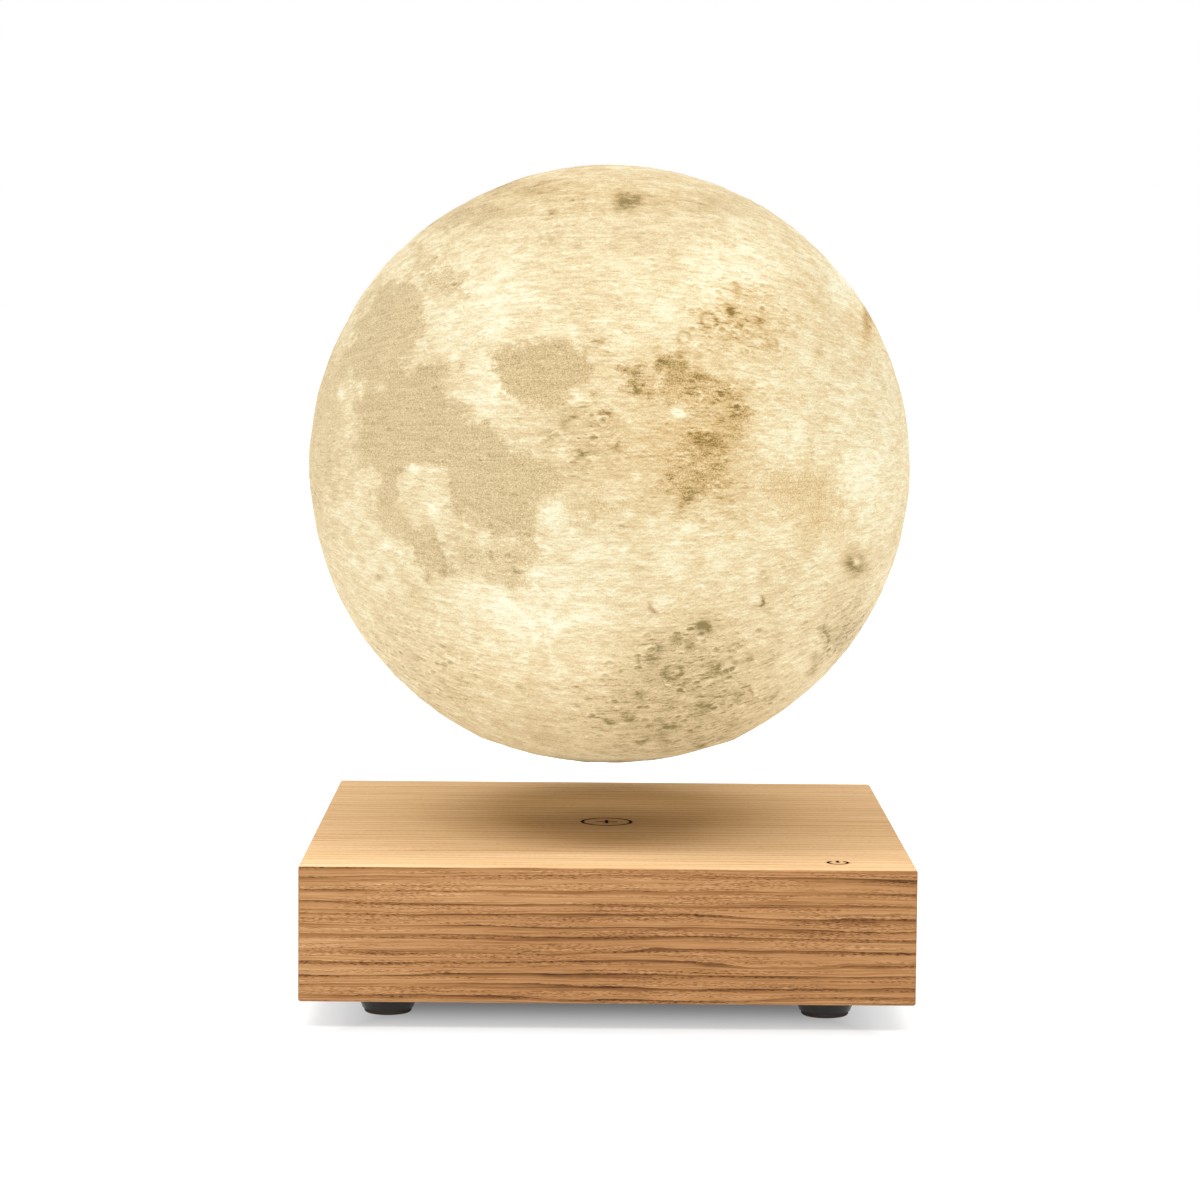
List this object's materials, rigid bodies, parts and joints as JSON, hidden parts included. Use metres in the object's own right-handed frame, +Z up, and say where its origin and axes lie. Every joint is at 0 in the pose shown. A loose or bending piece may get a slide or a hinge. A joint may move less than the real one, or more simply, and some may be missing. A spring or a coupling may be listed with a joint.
{
  "type": "moon lamp",
  "caption": "Moon lamp whose lit printed moon floats and turns above a square oak base with round dark feet.",
  "frame": {"origin": "on the table under the middle of the base, at the underside of the feet", "axes": "+Z up, front towards -Y with the touch mark at its right, power inlet at the rear towards +Y"},
  "size_m": [0.15, 0.15, 0.2027],
  "materials": {
    "oak": "oiled",
    "pine": "sawn",
    "plate_plastic": "fine texture",
    "foot_plastic": "moulded",
    "foot_rubber": "matt",
    "screw_steel": "zinc plated",
    "frame_plastic": "moulded",
    "ferrite": "ground",
    "bobbin_plastic": "moulded",
    "copper_wire": "enamelled",
    "core_steel": "turned",
    "tinned_pin": "tinned",
    "circuit_board": "solder mask",
    "chip_plastic": "moulded",
    "capacitor_can": "satin",
    "jack_plastic": "moulded",
    "copper_foil": "bright",
    "spring_steel": "drawn",
    "lead_sleeve": "smooth",
    "moon_print": "layer printed",
    "magnet_nickel": "nickel plated",
    "lamp_aluminium": "sheared",
    "led_board_white": "solder mask",
    "led_lens": "clear gel"
  },
  "bodies": {
    "base": {"bottom_plate": "plate_plastic", "capacitors": "capacitor_can", "coil_bobbin_front": "bobbin_plastic", "coil_bobbin_left": "bobbin_plastic", "coil_bobbin_rear": "bobbin_plastic", "coil_bobbin_right": "bobbin_plastic", "coil_cores": "core_steel", "coil_pins": "tinned_pin", "coil_winding_front": "copper_wire", "coil_winding_left": "copper_wire", "coil_winding_rear": "copper_wire", "coil_winding_right": "copper_wire", "control_board": "circuit_board", "control_chips": "chip_plastic", "corner_block_front_left": "pine", "corner_block_front_right": "pine", "corner_block_rear_left": "pine", "corner_block_rear_right": "pine", "foot_cup_front_left": "foot_plastic", "foot_cup_front_right": "foot_plastic", "foot_cup_rear_left": "foot_plastic", "foot_cup_rear_right": "foot_plastic", "foot_pad_front_left": "foot_rubber", "foot_pad_front_right": "foot_rubber", "foot_pad_rear_left": "foot_rubber", "foot_pad_rear_right": "foot_rubber", "foot_screws": "screw_steel", "front_board": "oak", "hall_sensor_board": "circuit_board", "hall_sensor_pins": "tinned_pin", "hall_sensors": "chip_plastic", "inductor": "ferrite", "jack_pin": "tinned_pin", "left_board": "oak", "module_frame": "frame_plastic", "module_screws": "screw_steel", "power_jack": "jack_plastic", "power_transistors": "chip_plastic", "rear_board": "oak", "right_board": "oak", "ring_magnet": "ferrite", "top_panel": "oak", "touch_board": "circuit_board", "touch_chip": "chip_plastic", "touch_electrode": "copper_foil", "touch_lead": "lead_sleeve", "touch_spring": "spring_steel", "transmitter_coil": "copper_wire", "transmitter_leads": "copper_wire"},
    "levitator": {"float_magnet": "magnet_nickel"},
    "moon": {"moon_shell": "moon_print", "moon_cap": "moon_print", "receiver_coil": "copper_wire", "lamp_plate": "lamp_aluminium", "led_board": "led_board_white", "leds": "led_lens", "led_driver_chips": "chip_plastic", "lamp_screws": "screw_steel"}
  },
  "joints": [
    {"name": "moon_lift", "type": "slide", "parent": "base", "child": "levitator", "axis": [0, 0, 1], "range_m": [-0.015, 0.06], "stiffness_N_per_m": 150, "springref_m": 0.01736},
    {"name": "moon_spin", "type": "hinge", "parent": "levitator", "child": "moon", "pos_m": [0, 0, 0.1277], "axis": [0, 0, 1], "continuous": true}
  ]
}
